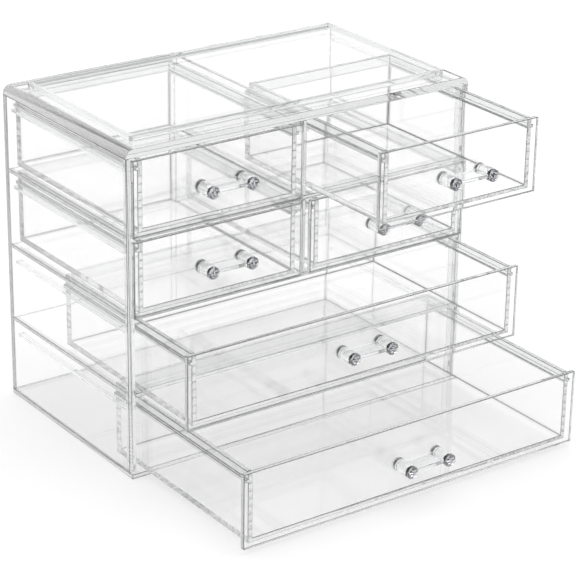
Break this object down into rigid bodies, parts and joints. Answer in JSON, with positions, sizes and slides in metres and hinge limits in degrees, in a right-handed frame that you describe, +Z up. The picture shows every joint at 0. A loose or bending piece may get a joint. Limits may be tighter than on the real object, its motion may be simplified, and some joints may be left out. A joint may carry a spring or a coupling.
{
  "type": "make-up organizer with drawers",
  "caption": "Clear acrylic tabletop case with half-width and full-width sliding drawers, each with a gem-ended bar handle, and a raised rim on top.",
  "frame": {"origin": "centre of the base plate's underside, on the surface the case stands on", "axes": "+Z up, the drawers open towards -Y, +X to the right as seen from the front"},
  "size_m": [0.238, 0.2607, 0.2001],
  "materials": {
    "clear_sheet": "clear acrylic sheet, polished",
    "clear_strip": "clear acrylic strip, sawn edges",
    "clear_tray": "clear moulded acrylic",
    "clear_front": "clear acrylic sheet, polished",
    "clear_handle": "clear moulded acrylic with cut facets"
  },
  "bodies": {
    "case": {"base_plate": "clear_sheet", "left_side_wall": "clear_sheet", "right_side_wall": "clear_sheet", "back_panel": "clear_sheet", "top_plate": "clear_sheet", "stacking_rim": "clear_strip", "upper_shelf": "clear_sheet", "middle_shelf": "clear_sheet", "lower_shelf": "clear_sheet", "upper_divider": "clear_sheet", "lower_divider": "clear_sheet", "left_stile": "clear_strip", "right_stile": "clear_strip", "row1_runners": "clear_strip", "row2_runners": "clear_strip", "row3_runners": "clear_strip", "row4_runners": "clear_strip"},
    "row1_left_drawer": {"row1_left_tray": "clear_tray", "row1_left_front": "clear_front", "row1_left_handle": "clear_handle"},
    "row1_right_drawer": {"row1_right_tray": "clear_tray", "row1_right_front": "clear_front", "row1_right_handle": "clear_handle"},
    "row2_left_drawer": {"row2_left_tray": "clear_tray", "row2_left_front": "clear_front", "row2_left_handle": "clear_handle"},
    "row2_right_drawer": {"row2_right_tray": "clear_tray", "row2_right_front": "clear_front", "row2_right_handle": "clear_handle"},
    "row3_drawer": {"row3_tray": "clear_tray", "row3_front": "clear_front", "row3_handle": "clear_handle"},
    "row4_drawer": {"row4_tray": "clear_tray", "row4_front": "clear_front", "row4_handle": "clear_handle"}
  },
  "joints": [
    {"name": "row1_left_slide", "type": "slide", "parent": "case", "child": "row1_left_drawer", "axis": [0, -1, 0], "range_m": [0, 0.1115]},
    {"name": "row1_right_slide", "type": "slide", "parent": "case", "child": "row1_right_drawer", "axis": [0, -1, 0], "range_m": [-0.063, 0.0485]},
    {"name": "row2_left_slide", "type": "slide", "parent": "case", "child": "row2_left_drawer", "axis": [0, -1, 0], "range_m": [0, 0.1115]},
    {"name": "row2_right_slide", "type": "slide", "parent": "case", "child": "row2_right_drawer", "axis": [0, -1, 0], "range_m": [0, 0.1115]},
    {"name": "row3_slide", "type": "slide", "parent": "case", "child": "row3_drawer", "axis": [0, -1, 0], "range_m": [-0.053, 0.0585]},
    {"name": "row4_slide", "type": "slide", "parent": "case", "child": "row4_drawer", "axis": [0, -1, 0], "range_m": [-0.107, 0.0045]}
  ]
}
